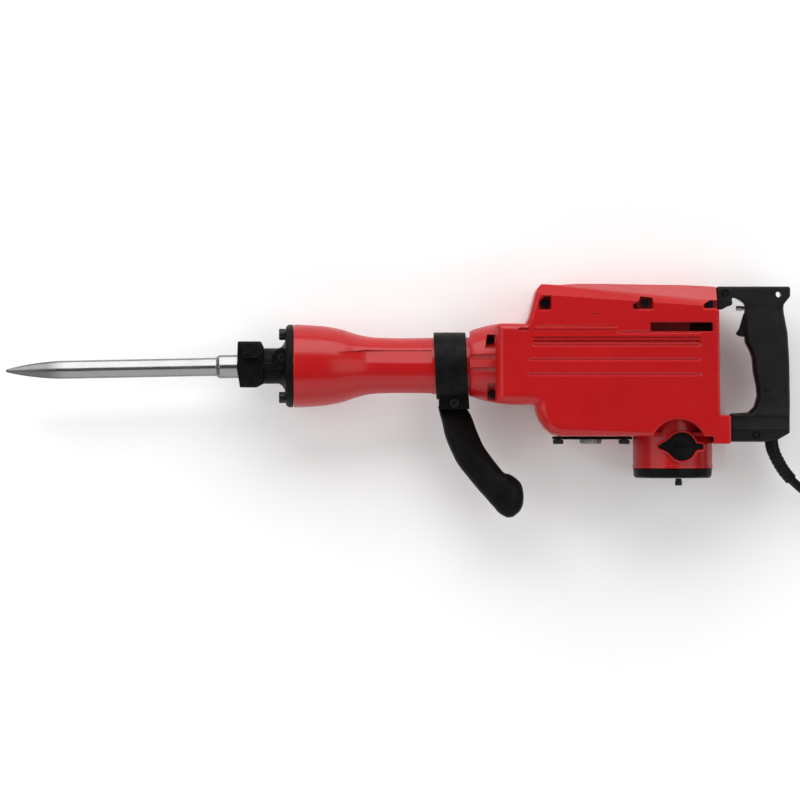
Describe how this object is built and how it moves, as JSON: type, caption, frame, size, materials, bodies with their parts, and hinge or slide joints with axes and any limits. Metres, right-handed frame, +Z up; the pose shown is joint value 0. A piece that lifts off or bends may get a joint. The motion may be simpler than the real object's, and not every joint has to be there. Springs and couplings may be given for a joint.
{
  "type": "electric jackhammer",
  "caption": "Electric demolition hammer lying on its side: pointed hex chisel, crank-driven striker, motor across the barrel, swivelling side grip, D-handle with trigger and mains lead.",
  "frame": {"origin": "on the floor under the middle of the hammer, lying on its far side cover, lead left out", "axes": "+X from the chisel tip to the rear handle, +Y from the side grip to the top of the housing, +Z up through the near side cover"},
  "size_m": [1.0498, 0.2687, 0.12],
  "materials": {
    "red_paint": "glossy red paint on die-cast alloy",
    "red_casting": "glossy red paint on a heavier casting",
    "black_cast": "black oxide casting, satin",
    "black_plastic": "moulded glass-filled nylon",
    "rubber": "matt black rubber",
    "chisel_steel": "ground tool steel",
    "steel": "machined steel",
    "alloy": "machined alloy",
    "brass": "drawn brass",
    "copper": "lacquered copper",
    "carbon": "pressed carbon"
  },
  "bodies": {
    "frame": {"cylinder_case": "red_paint", "near_cover": "red_paint", "far_cover": "red_paint", "motor_housing": "red_paint", "crank_case": "red_casting", "front_cover": "black_cast", "front_cover_bolt_1": "black_cast", "front_cover_bolt_2": "black_cast", "front_cover_bolt_3": "black_cast", "front_cover_bolt_4": "black_cast", "tail_cover_screw": "black_cast", "base_plate": "black_cast", "grease_plug": "black_cast", "tail_cover": "black_plastic", "brush_cap_near": "black_plastic", "brush_cap_far": "black_plastic", "handle_shell_near": "black_plastic", "handle_shell_far": "black_plastic", "switch_body": "black_plastic", "plug": "black_plastic", "damper_ring": "rubber", "cord_guard": "rubber", "power_cord": "rubber", "cord_coil": "rubber", "cord_tail": "rubber", "hammer_holder": "steel", "cylinder_liner": "steel", "stator_core": "steel", "crank_bearing_lower": "steel", "crank_bearing_upper": "steel", "intermediate_bearing_lower": "steel", "intermediate_bearing_upper": "steel", "armature_bearing_upper": "steel", "armature_bearing_lower": "steel", "brush_holder_near": "brass", "brush_holder_far": "brass", "field_winding": "copper"},
    "chisel": {"chisel_bit": "chisel_steel"},
    "stop_lever": {"stop_lever": "black_cast"},
    "second_hammer": {"second_hammer": "steel"},
    "striker": {"striker": "steel"},
    "piston": {"piston": "alloy"},
    "crank": {"crankshaft": "steel", "final_gear": "steel"},
    "connecting_rod": {"connecting_rod": "steel", "wrist_pin": "steel"},
    "intermediate": {"intermediate_shaft": "steel", "first_gear": "steel"},
    "armature": {"armature_shaft": "steel", "armature_core": "steel", "commutator": "copper", "cooling_fan": "black_plastic"},
    "trigger": {"trigger": "black_plastic"},
    "lock_pin": {"lock_pin": "steel"},
    "side_handle": {"side_handle_band": "black_cast", "side_handle_grip": "black_plastic", "side_handle_bolt": "black_cast"},
    "brush_near": {"carbon_brush_near": "carbon"},
    "brush_far": {"carbon_brush_far": "carbon"}
  },
  "joints": [
    {"name": "chisel_slide", "type": "slide", "parent": "frame", "child": "chisel", "axis": [0.9998, 0.0192, 0], "range_m": [-0.02, 0]},
    {"name": "stop_lever_turn", "type": "hinge", "parent": "frame", "child": "stop_lever", "pos_m": [-0.15325, 0.05465, 0.088], "axis": [0, 0, 1], "range_deg": [-180, 0]},
    {"name": "second_hammer_slide", "type": "slide", "parent": "frame", "child": "second_hammer", "axis": [1, 0, 0], "range_m": [-0.0015, 0.006]},
    {"name": "striker_slide", "type": "slide", "parent": "frame", "child": "striker", "axis": [1, 0, 0], "range_m": [-0.012, 0.02]},
    {"name": "piston_slide", "type": "slide", "parent": "frame", "child": "piston", "axis": [1, 0, 0], "range_m": [0, 0.024]},
    {"name": "crank_spin", "type": "hinge", "parent": "frame", "child": "crank", "pos_m": [0.2031, 0.03765, 0.06], "axis": [0, 1, 0], "continuous": true},
    {"name": "connecting_rod_pivot", "type": "hinge", "parent": "crank", "child": "connecting_rod", "pos_m": [0.1911, 0.03765, 0.06], "axis": [0, 1, 0], "continuous": true},
    {"name": "intermediate_spin", "type": "hinge", "parent": "frame", "child": "intermediate", "pos_m": [0.26185, 0.03765, 0.06], "axis": [0, 1, 0], "continuous": true},
    {"name": "armature_spin", "type": "hinge", "parent": "frame", "child": "armature", "pos_m": [0.29635, 0.03765, 0.06], "axis": [0, 1, 0], "continuous": true},
    {"name": "trigger_pull", "type": "hinge", "parent": "frame", "child": "trigger", "pos_m": [0.38095, 0.09365, 0.06], "axis": [0, 0, 1], "range_deg": [0, 14], "stiffness_Nm_per_rad": 0.5, "springref_deg": -14.32},
    {"name": "lock_pin_press", "type": "slide", "parent": "frame", "child": "lock_pin", "axis": [1, 0, 0], "range_m": [0, 0.004], "stiffness_N_per_m": 500, "springref_m": -0.004},
    {"name": "side_handle_swivel", "type": "hinge", "parent": "frame", "child": "side_handle", "pos_m": [0.05995, 0.03765, 0.06], "axis": [1, 0, 0], "continuous": true},
    {"name": "brush_near_slide", "type": "slide", "parent": "frame", "child": "brush_near", "axis": [0, 0, 1], "range_m": [0, 0.003], "stiffness_N_per_m": 300, "springref_m": -0.008},
    {"name": "brush_far_slide", "type": "slide", "parent": "frame", "child": "brush_far", "axis": [0, 0, -1], "range_m": [0, 0.003], "stiffness_N_per_m": 300, "springref_m": -0.008}
  ],
  "couplings": [
    {"joint": "connecting_rod_pivot", "follows": "crank_spin", "ratio": -1},
    {"joint": "intermediate_spin", "follows": "crank_spin", "ratio": -2.9167},
    {"joint": "armature_spin", "follows": "crank_spin", "ratio": 10.5}
  ]
}
